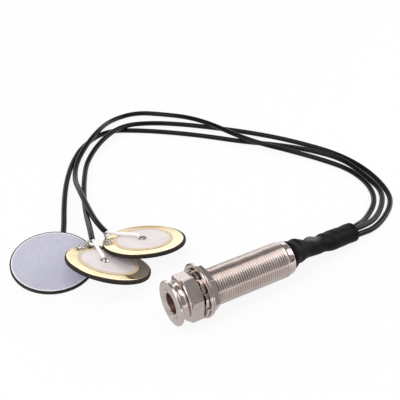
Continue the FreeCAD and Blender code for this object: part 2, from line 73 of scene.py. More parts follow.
# %% The routes of the leads, from the disc to the end inside the sleeve, in millimetres
ROUTE_1 = [
    (-43.41, 18.95, 1.46), (-44.1, 26.2, 1.2), (-46.13, 40.1, 1.0), (-47.43, 54.4, 1.0), (-47.23, 69.0, 1.0),
    (-44.73, 82.8, 1.0), (-36.23, 95.9, 1.0), (-21.83, 96.0, 1.0), (-7.53, 94.1, 1.0), (6.57, 91.0, 1.0),
    (20.37, 86.8, 1.0), (34.57, 84.2, 1.0), (48.17, 80.0, 1.0), (61.07, 72.6, 1.0), (67.97, 59.9, 1.0),
    (72.73, 48.09, 1.0), (67.15, 31.23, 1.8), (58.0, 21.5, 4.1), (51.67, 17.3, 5.4),
]
ROUTE_2 = [
    (-32.15, 12.17, 6.16), (-33.7, 18.9, 5.6), (-36.7, 31.2, 2.6), (-39.33, 44.1, 1.0), (-40.93, 57.6, 1.0),
    (-41.43, 71.3, 1.0), (-36.63, 83.9, 3.5), (-29.53, 95.7, 3.5), (-17.83, 102.8, 1.0), (-3.93, 101.4, 1.0),
    (9.07, 98.5, 1.0), (22.37, 94.9, 1.0), (35.17, 90.3, 1.0), (47.27, 84.3, 1.0), (58.97, 76.9, 1.0),
    (67.77, 66.8, 1.0), (73.37, 54.1, 1.0), (74.7, 41.76, 1.0), (66.38, 26.62, 1.1), (57.63, 20.3, 2.2),
    (52.37, 16.4, 3.4),
]
ROUTE_3 = [
    (-28.28, 18.1, 5.14), (-31.8, 23.2, 4.8), (-36.42, 34.03, 4.2), (-40.61, 45.11, 3.6), (-44.53, 57.0, 1.2),
    (-45.43, 69.5, 1.4), (-42.13, 81.4, 3.4), (-38.53, 93.0, 3.4), (-34.73, 105.4, 1.0), (-24.63, 112.2, 1.0),
    (-11.43, 110.3, 1.0), (-0.73, 104.6, 2.6), (8.97, 96.8, 3.5), (18.07, 88.3, 3.4), (28.07, 81.0, 3.4),
    (40.47, 78.4, 1.4), (51.37, 72.9, 1.0), (61.87, 65.5, 1.0), (67.87, 54.9, 1.0), (68.64, 43.09, 1.0),
    (63.0, 31.3, 1.2), (57.6, 23.9, 3.2), (50.97, 18.2, 3.4),
]
JACKET_R = 0.001


def lead_curve(name, route):
    """A clamped quadratic NURBS curve with the route's corners as its control points."""
    curve = bpy.data.curves.new(name, "CURVE")
    curve.dimensions = "3D"
    spline = curve.splines.new("NURBS")
    spline.points.add(len(route) - 1)
    corners = np.column_stack([np.array(route) / 1000, np.ones(len(route))])
    spline.points.foreach_set("co", corners.ravel())
    spline.points.foreach_set("radius", np.full(len(route), JACKET_R))
    spline.order_u = 3
    spline.use_endpoint_u = True
    curve.resolution_u = 16
    curve.bevel_depth = 1.0
    curve.bevel_resolution = 6
    curve.use_fill_caps = True
    piece = bpy.data.objects.new(name, curve)
    bpy.context.scene.collection.objects.link(piece)
    return piece


leads = {}
for number, route, length in ((1, ROUTE_1, 0.245), (2, ROUTE_2, 0.256), (3, ROUTE_3, 0.258)):
    lead = lead_curve("lead_%d_jacket" % number, route)
    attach(lead, "root")
    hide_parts("lead_%d" % number)
    leads[number] = lead
print("leads", [lead.name for lead in leads.values()])

# %% [markdown]
# Every other piece is a surface worked out with numpy. A grid of points goes into a mesh in one step,
# its doubled points are merged where the grid closes on itself, and the sign of the enclosed volume
# tells whether the faces look outwards.

# %% From a grid of points to a mesh
def surface(name, points, closed_rows=False, closed_columns=True, sharp=35.0, fields=None):
    """Quads between neighbours of a grid (rows x columns x 3, metres); fields are values per point."""
    rows, columns = points.shape[:2]
    low_rows = np.arange(rows if closed_rows else rows - 1)
    low_columns = np.arange(columns if closed_columns else columns - 1)
    i, j = np.meshgrid(low_rows, low_columns, indexing="ij")
    up, along = (i + 1) % rows, (j + 1) % columns
    corners = [i * columns + j, i * columns + along, up * columns + along, up * columns + j]
    quads = np.stack(corners, -1).reshape(-1, 4)
    flat = points.reshape(-1, 3)
    a, b, c, d = (flat[quads[:, k]] for k in range(4))
    volume = (np.cross(a, b) * c).sum() + (np.cross(a, c) * d).sum()
    if volume < 0:
        quads = quads[:, ::-1]
    mesh = bpy.data.meshes.new(name)
    mesh.vertices.add(len(flat))
    mesh.vertices.foreach_set("co", flat.ravel())
    mesh.loops.add(quads.size)
    mesh.loops.foreach_set("vertex_index", quads.ravel())
    mesh.polygons.add(len(quads))
    mesh.polygons.foreach_set("loop_start", np.arange(0, quads.size, 4))
    mesh.update()
    for field, values in (fields or {}).items():
        layer = mesh.attributes.new(field, "FLOAT", "POINT")
        layer.data.foreach_set("value", np.broadcast_to(values, (rows, columns)).ravel().astype(float))
    weld(mesh)
    mesh.set_sharp_from_angle(angle=math.radians(sharp))
    piece = bpy.data.objects.new(name, mesh)
    bpy.context.scene.collection.objects.link(piece)
    return piece


def weld(mesh):
    """Merges points closer than a tenth of a micrometre, which closes seams and poles."""
    work = bmesh.new()
    work.from_mesh(mesh)
    bmesh.ops.remove_doubles(work, verts=work.verts, dist=1e-7)
    bmesh.ops.dissolve_degenerate(work, edges=work.edges, dist=1e-8)
    for face in work.faces:
        face.smooth = True
    work.to_mesh(mesh)
    work.free()


def dress(piece, finish, slot, *replaced):
    """Gives a piece its finish, its place on the body and the CAD nodes that it stands for."""
    piece.data.materials.append(finish)
    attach(piece, "root")
    if replaced:
        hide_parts(*replaced)
    faces = len(piece.data.polygons) if piece.type == "MESH" else 0
    print(piece.name, faces, "faces")


# %% [markdown]
# Real surfaces are never quite even. A few sine waves with seeded directions and phases make a smooth
# unevenness that is the same on every run, and that closes on itself round a turned piece.

# %% A seeded unevenness and a smooth line
def uneven(turn, along, seed, waves=9, fastest=9):
    """A sum of sines: whole waves round the turn (radians), any wave along, scaled to about -1..1."""
    rng = np.random.default_rng(seed)
    total = np.zeros(np.broadcast(turn, along).shape)
    for _ in range(waves):
        whole = rng.integers(1, fastest + 1)
        total = total + np.sin(whole * turn + rng.uniform(0.3, 1.6) * along + rng.uniform(0, 2 * np.pi))
    return total / math.sqrt(waves)


def smooth_line(knots, count):
    """Catmull-Rom: through every knot, with the slope of the line between its two neighbours."""
    knots = np.asarray(knots, float)
    padded = np.vstack([2 * knots[0] - knots[1], knots, 2 * knots[-1] - knots[-2]])
    place = np.linspace(0, len(knots) - 1, count)
    k = np.minimum(place.astype(int), len(knots) - 2)
    f = (place - k)[:, None]
    before, here, after, beyond = (padded[k + n] for n in range(4))
    return 0.5 * (2 * here + (after - before) * f + (2 * before - 5 * here + 4 * after - beyond) * f ** 2
                  + (3 * here - before - 3 * after + beyond) * f ** 3)


def round_line(line, radius, turns, up=(0, 0, 1)):
    """A tube: each point of the line plus radius times (cos turn * side + sin turn * upward)."""
    heading = np.gradient(line, axis=0)
    heading /= np.linalg.norm(heading, axis=1, keepdims=True)
    side = np.cross(heading, np.asarray(up, float))
    side /= np.linalg.norm(side, axis=1, keepdims=True)
    upward = np.cross(side, heading)
    radius = np.broadcast_to(radius, (len(line), len(turns)))[..., None]
    return line[:, None] + radius * (np.cos(turns)[None, :, None] * side[:, None]
                                     + np.sin(turns)[None, :, None] * upward[:, None])


print("unevenness spans", np.round(np.percentile(uneven(np.linspace(0, 6.28, 400), 0.0, 1), [0, 100]), 2))

# %% [markdown]
# Colours are kept as the hex values that a picture editor shows. Blender works with linear light, so
# one function undoes the sRGB curve. Another adds a node with its settings and its links, and a third
# starts a finish, which is always a Principled shader into the output.

# %% Colours, nodes and finishes
def linear(hex_colour):
    """sRGB hex to linear light: c / 12.92 below 0.04045, ((c + 0.055) / 1.055) ** 2.4 above."""
    c = np.array([int(hex_colour[k:k + 2], 16) for k in (1, 3, 5)]) / 255
    return (*np.where(c <= 0.04045, c / 12.92, ((c + 0.055) / 1.055) ** 2.4).tolist(), 1.0)


def add(tree, kind, inputs=None, **settings):
    """Adds a node; an input that is a socket is linked, any other is its value."""
    made = tree.nodes.new(kind)
    for name, value in settings.items():
        setattr(made, name, value)
    for name, value in (inputs or {}).items():
        if isinstance(value, bpy.types.NodeSocket):
            tree.links.new(value, made.inputs[name])
        else:
            made.inputs[name].default_value = value
    return made


def new_finish(name, **inputs):
    """A material with one Principled shader; returns the material, its nodes and the shader."""
    material = bpy.data.materials.new(name)
    material.use_nodes = True
    tree = material.node_tree
    tree.nodes.clear()
    shader = add(tree, "ShaderNodeBsdfPrincipled", {key.replace("_", " "): v for key, v in inputs.items()})
    add(tree, "ShaderNodeOutputMaterial", {"Surface": shader.outputs["BSDF"]})
    return material, tree, shader


def per_mm(size):
    """Texture scale that repeats a pattern every so many millimetres of Object coordinates."""
    return 1000.0 / size


def bump(tree, shader, height, depth_mm, strength=1.0):
    """Lets a height between 0 and 1 tilt the light by a depth in millimetres."""
    made = add(tree, "ShaderNodeBump", {"Height": height, "Distance": depth_mm / 1000, "Strength": strength})
    tree.links.new(made.outputs["Normal"], shader.inputs["Normal"])


# %% [markdown]
# The jack is turned from brass and plated with bright nickel. Nickel is a warm grey mirror. The plating
# follows the fine marks of the lathe and the slight swell that buffing leaves on a flat, and handling
# leaves faint smudges that make it a little rougher.

# %% Nickel plate
nickel, tree, shader = new_finish("bright_nickel_plate", Metallic=1.0)
place = add(tree, "ShaderNodeTexCoord").outputs["Object"]
smudge = add(tree, "ShaderNodeTexNoise",
             {"Vector": place, "Scale": per_mm(4.0), "Detail": 3.0, "Roughness": 0.6})
tint = add(tree, "ShaderNodeValToRGB", {"Fac": smudge.outputs["Fac"]})
tint.color_ramp.elements[0].color = linear("#C3B5B0")
tint.color_ramp.elements[0].position = 0.3
tint.color_ramp.elements[1].color = linear("#D3C6C1")
tint.color_ramp.elements[1].position = 0.7
# Painted shade: inside the bore the plate is painted dark brown and made rougher, for the dark of the deep
# hole.
bored = add(tree, "ShaderNodeAttribute", attribute_name="inside")
painted_light_node = add(tree, "ShaderNodeMix", {"Factor": bored.outputs["Fac"], "A": tint.outputs["Color"],
                                   "B": linear("#5C4640")}, data_type="RGBA")
tree.links.new(painted_light_node.outputs[2], shader.inputs["Base Color"])
dull = add(tree, "ShaderNodeMapRange", {"Value": smudge.outputs["Fac"], "From Min": 0.35, "From Max": 0.7,
                                        "To Min": 0.09, "To Max": 0.17})
rougher = add(tree, "ShaderNodeMath", {0: bored.outputs["Fac"], 1: 0.35, 2: dull.outputs["Result"]},
              operation="MULTIPLY_ADD")
tree.links.new(rougher.outputs["Value"], shader.inputs["Roughness"])
grit = add(tree, "ShaderNodeTexNoise", {"Vector": place, "Scale": per_mm(0.9), "Detail": 1.0})
swell = add(tree, "ShaderNodeTexNoise", {"Vector": place, "Scale": per_mm(6.0), "Detail": 0.0})
buffed = add(tree, "ShaderNodeBump", {"Height": swell.outputs["Fac"], "Distance": 0.00015})
fine_marks = add(tree, "ShaderNodeBump", {"Height": grit.outputs["Fac"], "Distance": 2e-6,
                                          "Normal": buffed.outputs["Normal"]})
tree.links.new(fine_marks.outputs["Normal"], shader.inputs["Normal"])
print("nickel", [n.name for n in tree.nodes][:3])

# %% [markdown]
# The jack is drawn in its own frame: s runs along the axis from the face of the button, and a point
# round the axis has a radius and an angle. One function carries that into the row frame.

# %% The frame of the jack
JACK_FACE = np.array([-5.23, -20.99, 7.69])
AZIMUTH, RISE = math.radians(29.57), math.radians(1.62)
AXIS = np.array([math.cos(RISE) * math.cos(AZIMUTH), math.cos(RISE) * math.sin(AZIMUTH), math.sin(RISE)])
SIDE = np.array([-math.sin(AZIMUTH), math.cos(AZIMUTH), 0.0])
TOP = np.cross(AXIS, SIDE)


def on_jack(s, radius, angle, lift=0.0):
    """face + s * axis + radius * (cos angle * side + sin angle * top), given in mm, back in metres."""
    s, radius, angle = np.broadcast_arrays(s, radius, angle)
    point = JACK_FACE + s[..., None] * AXIS + (radius * np.cos(angle))[..., None] * SIDE
    return (point + (radius * np.sin(angle) + lift)[..., None] * TOP) / 1000


def ring_of(angles, profile):
    """A profile of (s, radius) rows carried round the axis at the given angles."""
    profile = np.array(profile, float)
    return on_jack(profile[:, :1], profile[:, 1:], angles[None, :])


def arc_through(a, b, c, count):
    """Points on the circle through three (s, radius) points, from the first to the last."""
    a, b, c = (np.array(p, float) for p in (a, b, c))
    normal = np.array([b - a, c - a])
    middle = np.linalg.solve(2 * normal, [b @ b - a @ a, c @ c - a @ a])
    start, end = (math.atan2(*(p - middle)[::-1]) for p in (a, c))
    through = math.atan2(*(b - middle)[::-1])
    if not min(start, end) <= through <= max(start, end):
        end += -2 * math.pi if end > start else 2 * math.pi
    sweep = np.linspace(start, end, count)
    radius = np.linalg.norm(a - middle)
    return np.column_stack([middle[0] + radius * np.cos(sweep), middle[1] + radius * np.sin(sweep)])


print("jack axis", np.round(AXIS, 3))

# %% [markdown]
# The button is one turned and milled piece: a flange that holds the strap, a hollow neck, and a collar
# with six flats. All of it is one profile carried round the axis. On the collar the radius is the
# smaller of a cone, which is the chamfer, and a hexagon; a high power mean rounds the edge where they meet.

# %% Strap button
def hexagon(angle, apothem, corner):
    """apothem / cos of the angle to the nearest flat, the corners eased by a power mean."""
    flats = np.radians(corner + 30 + 60 * np.arange(6))
    facing = np.clip(np.cos(angle[..., None] - flats), 0, None)
    return apothem / (facing ** 120).sum(-1) ** (1 / 120)


def lesser(a, b, power=90):
    """Smooth minimum of two radii: (a^-p + b^-p)^(-1/p)."""
    return (a ** -power + b ** -power) ** (-1 / power)


TURN = np.radians(np.arange(0, 360, 1.0))
FLAT = 6.8
CHAMFER = math.tan(math.radians(19))
front = [(0.15, 4.62), (0.0, 4.78), (0.0, 5.6), (0.0, 6.76)]
rim = [(0.35 - 0.35 * math.sin(a), 6.80 + 0.35 * math.cos(a)) for a in np.radians(np.linspace(90, 0, 8))]
back_rim = [(0.75 + 0.35 * math.sin(a), 6.80 + 0.35 * math.cos(a)) for a in np.radians(np.linspace(0, 90, 8))]
neck = [row for row in arc_through((1.1, 5.75), (2.0, 5.2), (3.7, 6.75), 40).tolist() if row[0] < 3.48]
ridge_line = [(3.56, 6.66), (3.63, 6.77), (3.72, 6.84), (3.80, 6.90)]
cone = [(3.88 + d, 6.96 + d / CHAMFER) for d in np.linspace(0.0, 0.42, 16)]
rear_cone = [(8.1 - d, 6.75 + d / CHAMFER) for d in np.linspace(0.50, 0.0, 16)]
inside = [(8.1, 6.3), (8.1, 5.95), (8.05, 5.92), (4.95, 5.92), (4.95, 4.62)]
outer = front + rim + back_rim + neck + ridge_line
profile = np.array(outer + cone + rear_cone + inside)
milled = np.zeros(len(profile), bool)
milled[len(outer):len(outer) + len(cone) + len(rear_cone)] = True
radius = np.repeat(profile[:, 1:], len(TURN), axis=1)
radius[milled] = lesser(radius[milled], hexagon(TURN, FLAT, 36.6)[None, :])
button = surface("button", on_jack(profile[:, :1], radius, TURN[None, :]), closed_rows=True, sharp=28)
dress(button, nickel, "nickel", "strap_button")

# %% [markdown]
# The barrel carries a fine thread of 32 turns to the inch, 0.794 mm from ridge to ridge. Its rows of
# points wind with the ridge: after a whole turn each row has moved on by one pitch and meets the row
# that started there, so weld() can close the seam. The crest and the root are a little rounded.

# %% Threaded barrel
PITCH = 25.4 / 32
DEPTH = 0.38


def ridge(phase):
    """0 on the crest, 1 in the root: smoothstep of a triangle wave of the phase, in pitches."""
    wave = np.clip((np.abs(2 * (phase - np.floor(phase)) - 1) - 0.12) / 0.80, 0, 1)
    return wave ** 2 * (3 - 2 * wave)


hole_angle = math.radians(152)
near_hole = hole_angle + np.radians(np.arange(-9, 9.1, 1.0))
round_barrel = np.unique(np.round(np.concatenate([np.radians(np.arange(0, 360, 3.75)), near_hole]), 5))
round_barrel = np.append(round_barrel, 2 * np.pi)
START, STOP = 5.6, 39.5
threaded = np.arange(START - PITCH, STOP + PITCH / 12, PITCH / 12)
shell = [(0.55, 3.2), (0.25, 3.5), (0.0, 3.85), (-0.02, 3.95), (-0.02, 4.42), (0.1, 4.58)]
shell += [(5.2, 4.58), (5.5, 5.5)]
ring_rows = [(39.6, 5.62), (39.68, 5.73), (39.9, 5.74)]
ring_rows += [(s, 5.74 - 0.19 * (s - 39.9)) for s in np.arange(40.1, 41.7, 0.1)]
ring_rows += [(41.78, 5.34), (41.92, 5.22), (42.0, 5.06)]
hollow = [(42.0, 4.72), (30.0, 4.72), (24.0, 4.72), (24.0, 3.2), (12.0, 3.2)]
profile = np.array(shell + [(s, 5.9) for s in threaded] + ring_rows + hollow)
s, radius = profile[:, :1], np.repeat(profile[:, 1:], len(round_barrel), axis=1)
cut = slice(len(shell), len(shell) + len(threaded))
s = np.repeat(s, len(round_barrel), axis=1)
phase = s[cut] / PITCH
s[cut] = np.clip(s[cut] + PITCH * round_barrel / (2 * np.pi), START, STOP)
run_in = np.clip((s[cut] - START) / 0.3, 0, 1)
run_out = np.clip((STOP - s[cut]) / 0.5, 0, 1)
radius[cut] -= DEPTH * ridge(phase) * run_in * run_out
from_hole = np.hypot(s - 40.75, 5.5 * (round_barrel[None, :] - hole_angle))
pit = np.clip((0.55 - from_hole) / 0.12, 0, 1)
outside = (radius > 5.0) & (s > 39.8)
radius = np.where(outside, radius - 0.8 * pit, radius)
# The bore rows carry the value inside, which paints shade into the nickel there.
bored = np.where(profile[:, 1:] < 3.3, 1.0, 0.0)
barrel = surface("threaded_barrel", on_jack(s, radius, round_barrel[None, :]), closed_rows=True,
                 closed_columns=False, sharp=50, fields={"inside": bored})
dress(barrel, nickel, "nickel", "jack_barrel")

# %% [markdown]
# Washers and the nut are stamped or milled and then plated, so their edges are slightly soft. A flat
# washer is a rounded rectangle carried round the axis; the wide one hangs on the thread and stands on
# the table, so its middle is above the axis.

# %% Flat washers and nut
def soft_ring(s0, s1, inner, outer, ease):
    """Closed profile of a washer: a rectangle whose outer corners are quarter circles."""
    a = np.radians(np.linspace(0, 90, 6))
    near = np.column_stack([s0 + ease - ease * np.cos(a), outer - ease + ease * np.sin(a)])
    far = np.column_stack([s1 - ease + ease * np.sin(a), outer - ease + ease * np.cos(a)])
    return np.vstack([[(s0, inner + 0.08), (s0, 0.5 * (inner + outer))], near, far, [(s1, inner + 0.08)],
                      [(s1 - 0.08, inner), (s0 + 0.08, inner)]])


WASHER_TURN = np.radians(np.arange(0, 360, 2.0))
WIDE_LIFT = 0.741
COLLAR_END = 8.1
CAD_TWIST, CAD_TOOTH, CAD_PLATE = math.radians(22), 2.0, 0.6
LOCK_SPACE = CAD_PLATE * math.cos(CAD_TWIST) + CAD_TOOTH * math.sin(CAD_TWIST)
wide_s = COLLAR_END + LOCK_SPACE
rim = soft_ring(wide_s, wide_s + 0.8, 6.65, 8.7, 0.14)
hung = on_jack(rim[:, :1], rim[:, 1:], WASHER_TURN[None, :], lift=WIDE_LIFT)
wide = surface("wide_washer_plate", hung, closed_rows=True)
dress(wide, nickel, "nickel", "wide_washer")

thin_s = wide_s + 1.3
rim = soft_ring(thin_s, thin_s + 0.5, 6.02, 7.9, 0.12)
thin = surface("thin_washer_plate", ring_of(WASHER_TURN, rim), closed_rows=True)
dress(thin, nickel, "nickel", "thin_washer")

nut_s = thin_s + 0.5
cone = [(nut_s + d, 6.70 + d / CHAMFER) for d in np.linspace(0.0, 0.46, 16)]
rear_cone = [(nut_s + 2.0 - d, 6.70 + d / CHAMFER) for d in np.linspace(0.46, 0.0, 16)]
nut_bore = [(nut_s + 2.0, 6.4), (nut_s + 2.0, 6.25), (nut_s + 1.7, 5.92), (nut_s + 0.12, 5.92)]
profile = np.array([(nut_s, 6.05), (nut_s, 6.4)] + cone + rear_cone + nut_bore)
radius = np.repeat(profile[:, 1:], len(TURN), axis=1)
milled = slice(2, 2 + len(cone) + len(rear_cone))
radius[milled] = lesser(radius[milled], hexagon(TURN, 6.75, 61.5)[None, :])
nut = surface("nut", on_jack(profile[:, :1], radius, TURN[None, :]), closed_rows=True, sharp=28)
dress(nut, nickel, "nickel", "hex_nut")

# %% [markdown]
# The lock washer bites with ten outer teeth, each twisted about its own spoke. On a grid of angle and
# radius the edge steps out from root to tip at every tooth, and the plate is lifted along the axis in
# proportion to the distance from the middle of the tooth, fading to nothing at the root. The teeth are
# wide, with narrow slots between them, and they fill the space that the CAD model keeps for them.

# %% Toothed lock washer
TOOTH_COUNT, TOOTH_MIDDLE_R = 10, 7.4
HALF_TOOTH, HALF_PLATE = 1.85, 0.45
TOOTH_TWIST = math.radians(6)


def toothed_plate(angle, across):
    """Radius from inner edge (across 0) to the toothed edge (1), and the twist at that place."""
    pitch = 2 * np.pi / TOOTH_COUNT
    from_tooth = (angle - math.pi / 2 + pitch / 2) % pitch - pitch / 2
    inside_tooth = np.clip((HALF_TOOTH - np.abs(from_tooth) * TOOTH_MIDDLE_R) / 0.12 + 0.5, 0, 1)
    edge = 7.15 + 0.65 * inside_tooth
    radius = 6.02 + (edge - 6.02) * across
    ramp = np.clip((radius - 6.7) / 0.45, 0, 1)
    return radius, -math.tan(TOOTH_TWIST) * from_tooth * TOOTH_MIDDLE_R * ramp


fine = np.radians(np.arange(0, 360, 0.75))[None, :]
across = np.concatenate([np.linspace(0, 1, 12), np.linspace(1, 0, 12)])[:, None]
level = np.concatenate([np.full(12, -HALF_PLATE), np.full(12, HALF_PLATE)])[:, None]
radius, twist = toothed_plate(fine, across)
lock = surface("lock_washer_teeth", on_jack(COLLAR_END + LOCK_SPACE / 2 + level + twist, radius, fine),
               closed_rows=True, sharp=40)
dress(lock, nickel, "nickel", "lock_washer")

# %% [markdown]
# A piezo disc is a sandwich: a rolled brass plate, a thin ceramic wafer glued on it, and a silver layer
# fired on the wafer. Under it lie a foam pad and its release paper. Each disc gets its own frame, with
# x toward its lead and z out of the brass, so that one set of functions serves all three.

# %% The frames of the discs
BRASS_R, FOAM_R, STACK = 13.5, 13.9, 1.4


def turn_about(axis, angle):
    """Rodrigues: the matrix that turns about a unit axis by an angle."""
    x, y, z = axis
    cross = np.array([[0, -z, y], [z, 0, -x], [-y, x, 0]])
    return np.eye(3) + math.sin(angle) * cross + (1 - math.cos(angle)) * cross @ cross


def disc_frame(x, y, lean, tilt, lead, lift, face_down):
    """Origin at the middle of the brass face, and the matrix whose columns are the disc's axes."""
    lean, tilt, lead = (math.radians(v) for v in (lean, tilt, lead))
    turn = turn_about((-math.sin(lean), math.cos(lean), 0), tilt) @ turn_about((0, 0, 1), lead)
    paper_edge = BRASS_R * math.sin(tilt) + STACK * math.cos(tilt)
    foam_edge = FOAM_R * math.sin(tilt) + (STACK - 0.1) * math.cos(tilt)
    origin = np.array([x, y, max(paper_edge, foam_edge) + lift])
    if face_down:
        turn = turn @ np.diag([1.0, -1.0, -1.0])
        origin = origin + turn @ np.array([0, 0, STACK])
    return origin, turn


DISC_FRAMES = {
    1: disc_frame(-25.66 - 1.395 * BRASS_R, 0.22 + 0.372 * BRASS_R, -62.7, 7.26, 84.8, 0.0, True),
    2: disc_frame(-25.66, 0.22, 52.3, 22.71, 119.5, 0.05, False),
    3: disc_frame(-25.66 + 0.765 * BRASS_R, 0.22 + 1.015 * BRASS_R, 99.9, 16.53, 163.0, 0.05, False),
}


def on_disc(number, local):
    """From the disc's own millimetres to the row frame in metres."""
    origin, turn = DISC_FRAMES[number]
    return (origin + local @ turn.T) / 1000


def plate(radii, heights, angles, waves=None):
    """A turned plate as a grid: radius and height rows, with an unevenness added to the radius."""
    radii = np.asarray(radii, float)[:, None] + (0 if waves is None else waves)
    x, y = radii * np.cos(angles), radii * np.sin(angles)
    return np.stack([x, y, np.broadcast_to(np.asarray(heights, float)[:, None], x.shape)], -1)


for number, (origin, turn) in DISC_FRAMES.items():
    print("disc", number, "origin", np.round(origin, 2), "normal", np.round(turn[:, 2], 3))

# %% [markdown]
# The brass is thin rolled sheet, pale and bright, with a faint grain from the rolls. Soldering leaves
# a tan stain of flux beside the joint at the rim, which is kept as a value on the points of the plate.
# The same value also holds painted shade: a darker, duller tan along the far side of the third disc.

# %% Rolled brass
brass, tree, shader = new_finish("rolled_brass", Metallic=1.0)
place = add(tree, "ShaderNodeTexCoord").outputs["Object"]
rolled = add(tree, "ShaderNodeMapping", {"Vector": place, "Scale": (1.0, 0.08, 1.0), "Rotation": (0, 0, 0.4)})
grain = add(tree, "ShaderNodeTexNoise",
            {"Vector": rolled.outputs["Vector"], "Scale": per_mm(0.25), "Detail": 2.0})
cloud = add(tree, "ShaderNodeTexNoise", {"Vector": place, "Scale": per_mm(5.0), "Detail": 2.0})
tint = add(tree, "ShaderNodeValToRGB", {"Fac": cloud.outputs["Fac"]})
tint.color_ramp.elements[0].color = linear("#E8D8AB")
tint.color_ramp.elements[0].position = 0.35
tint.color_ramp.elements[1].color = linear("#F0E3BE")
tint.color_ramp.elements[1].position = 0.65
flux_and_shade = add(tree, "ShaderNodeAttribute", attribute_name="flux_and_shade")
stained_and_shaded = add(tree, "ShaderNodeMix", {"Factor": flux_and_shade.outputs["Fac"], "A": tint.outputs["Color"],
                                      "B": linear("#B98A58")}, data_type="RGBA")
tree.links.new(stained_and_shaded.outputs[2], shader.inputs["Base Color"])
dull = add(tree, "ShaderNodeMapRange", {"Value": grain.outputs["Fac"], "To Min": 0.09, "To Max": 0.17})
duller = add(tree, "ShaderNodeMath", {0: dull.outputs["Result"], 1: flux_and_shade.outputs["Fac"]}, operation="MAXIMUM")
soft = add(tree, "ShaderNodeMath", {0: duller.outputs["Value"], 1: 0.55}, operation="MINIMUM")
tree.links.new(soft.outputs["Value"], shader.inputs["Roughness"])
bump(tree, shader, grain.outputs["Fac"], 0.0015)
print("brass", len(tree.nodes), "nodes")

# %% [markdown]
# The wafer is sintered ceramic, beige and slightly grainy. Its silver layer is printed paste that was
# fired: a pinkish light grey that scatters light more than metal does, with a thin dull line at its edge.

# %% Ceramic wafer and its silver layer
ceramic, tree, shader = new_finish("sintered_ceramic", Roughness=0.42)
place = add(tree, "ShaderNodeTexCoord").outputs["Object"]
grain = add(tree, "ShaderNodeTexNoise", {"Vector": place, "Scale": per_mm(0.3), "Detail": 3.0})
tint = add(tree, "ShaderNodeValToRGB", {"Fac": grain.outputs["Fac"]})
tint.color_ramp.elements[0].color = linear("#CDB99A")
tint.color_ramp.elements[0].position = 0.35
tint.color_ramp.elements[1].color = linear("#DCCBB0")
tint.color_ramp.elements[1].position = 0.65
tree.links.new(tint.outputs["Color"], shader.inputs["Base Color"])
bump(tree, shader, grain.outputs["Fac"], 0.01)

silver, tree, shader = new_finish("fired_silver_paste", Metallic=0.25, Roughness=0.5)
place = add(tree, "ShaderNodeTexCoord").outputs["Object"]
print_grain = add(tree, "ShaderNodeTexNoise", {"Vector": place, "Scale": per_mm(0.2), "Detail": 3.0})
cloud = add(tree, "ShaderNodeTexNoise", {"Vector": place, "Scale": per_mm(6.0), "Detail": 2.0})
tint = add(tree, "ShaderNodeValToRGB", {"Fac": cloud.outputs["Fac"]})
tint.color_ramp.elements[0].color = linear("#E0D5D6")
tint.color_ramp.elements[0].position = 0.35
tint.color_ramp.elements[1].color = linear("#E9E0E0")
tint.color_ramp.elements[1].position = 0.65
rim_line = add(tree, "ShaderNodeAttribute", attribute_name="edge")
edged = add(tree, "ShaderNodeMix", {"Factor": rim_line.outputs["Fac"], "A": tint.outputs["Color"],
                                    "B": linear("#C7B7A6")}, data_type="RGBA")
tree.links.new(edged.outputs[2], shader.inputs["Base Color"])
bump(tree, shader, print_grain.outputs["Fac"], 0.006)
print("ceramic and silver ready")

# %% [markdown]
# The pad is black closed-cell foam, a brown black where light falls on its cut edge, and that edge
# shows open cells. The paper under it is siliconed and grey, with a faint mottle and a pale cut rim.

# %% Foam and release paper
foam, tree, shader = new_finish("black_cell_foam", Roughness=0.85)
place = add(tree, "ShaderNodeTexCoord").outputs["Object"]
cells = add(tree, "ShaderNodeTexVoronoi", {"Vector": place, "Scale": per_mm(0.28)})
tint = add(tree, "ShaderNodeValToRGB", {"Fac": cells.outputs["Distance"]})
tint.color_ramp.elements[0].color = linear("#0A0808")
tint.color_ramp.elements[1].color = linear("#332B27")
tree.links.new(tint.outputs["Color"], shader.inputs["Base Color"])
bump(tree, shader, cells.outputs["Distance"], 0.12)

paper, tree, shader = new_finish("siliconed_release_paper", Roughness=0.55)
place = add(tree, "ShaderNodeTexCoord").outputs["Object"]
fibre = add(tree, "ShaderNodeTexNoise",
            {"Vector": place, "Scale": per_mm(0.6), "Detail": 4.0, "Roughness": 0.7})
tint = add(tree, "ShaderNodeValToRGB", {"Fac": fibre.outputs["Fac"]})
tint.color_ramp.elements[0].color = linear("#B5B4C6")
tint.color_ramp.elements[0].position = 0.3
tint.color_ramp.elements[1].color = linear("#CFCEDC")
tint.color_ramp.elements[1].position = 0.7
cut_rim = add(tree, "ShaderNodeAttribute", attribute_name="edge")
edged = add(tree, "ShaderNodeMix", {"Factor": cut_rim.outputs["Fac"], "A": tint.outputs["Color"],
                                    "B": linear("#F2F1F5")}, data_type="RGBA")
tree.links.new(edged.outputs[2], shader.inputs["Base Color"])
bump(tree, shader, fibre.outputs["Fac"], 0.01)
print("foam and paper ready")

# %% [markdown]
# Brass, wafer, silver, foam and paper are round plates, so each is a profile carried round the disc's
# own z axis. Printed and cut rims waver a little, and a seeded unevenness of the radius gives that.

# %% The plates of the three discs
AROUND = np.radians(np.arange(0, 360, 2.0))
FINE_AROUND = np.radians(np.arange(0, 360, 1.0))
RIM_JOINT = 11.9 * np.array([math.cos(math.radians(28)), math.sin(math.radians(28))])
SHADED_SIDE = math.radians(-73)
PAD_SHIFT = {1: np.zeros(3), 2: np.array([0.3, 0, 0]), 3: np.array([0.3, 0, 0])}

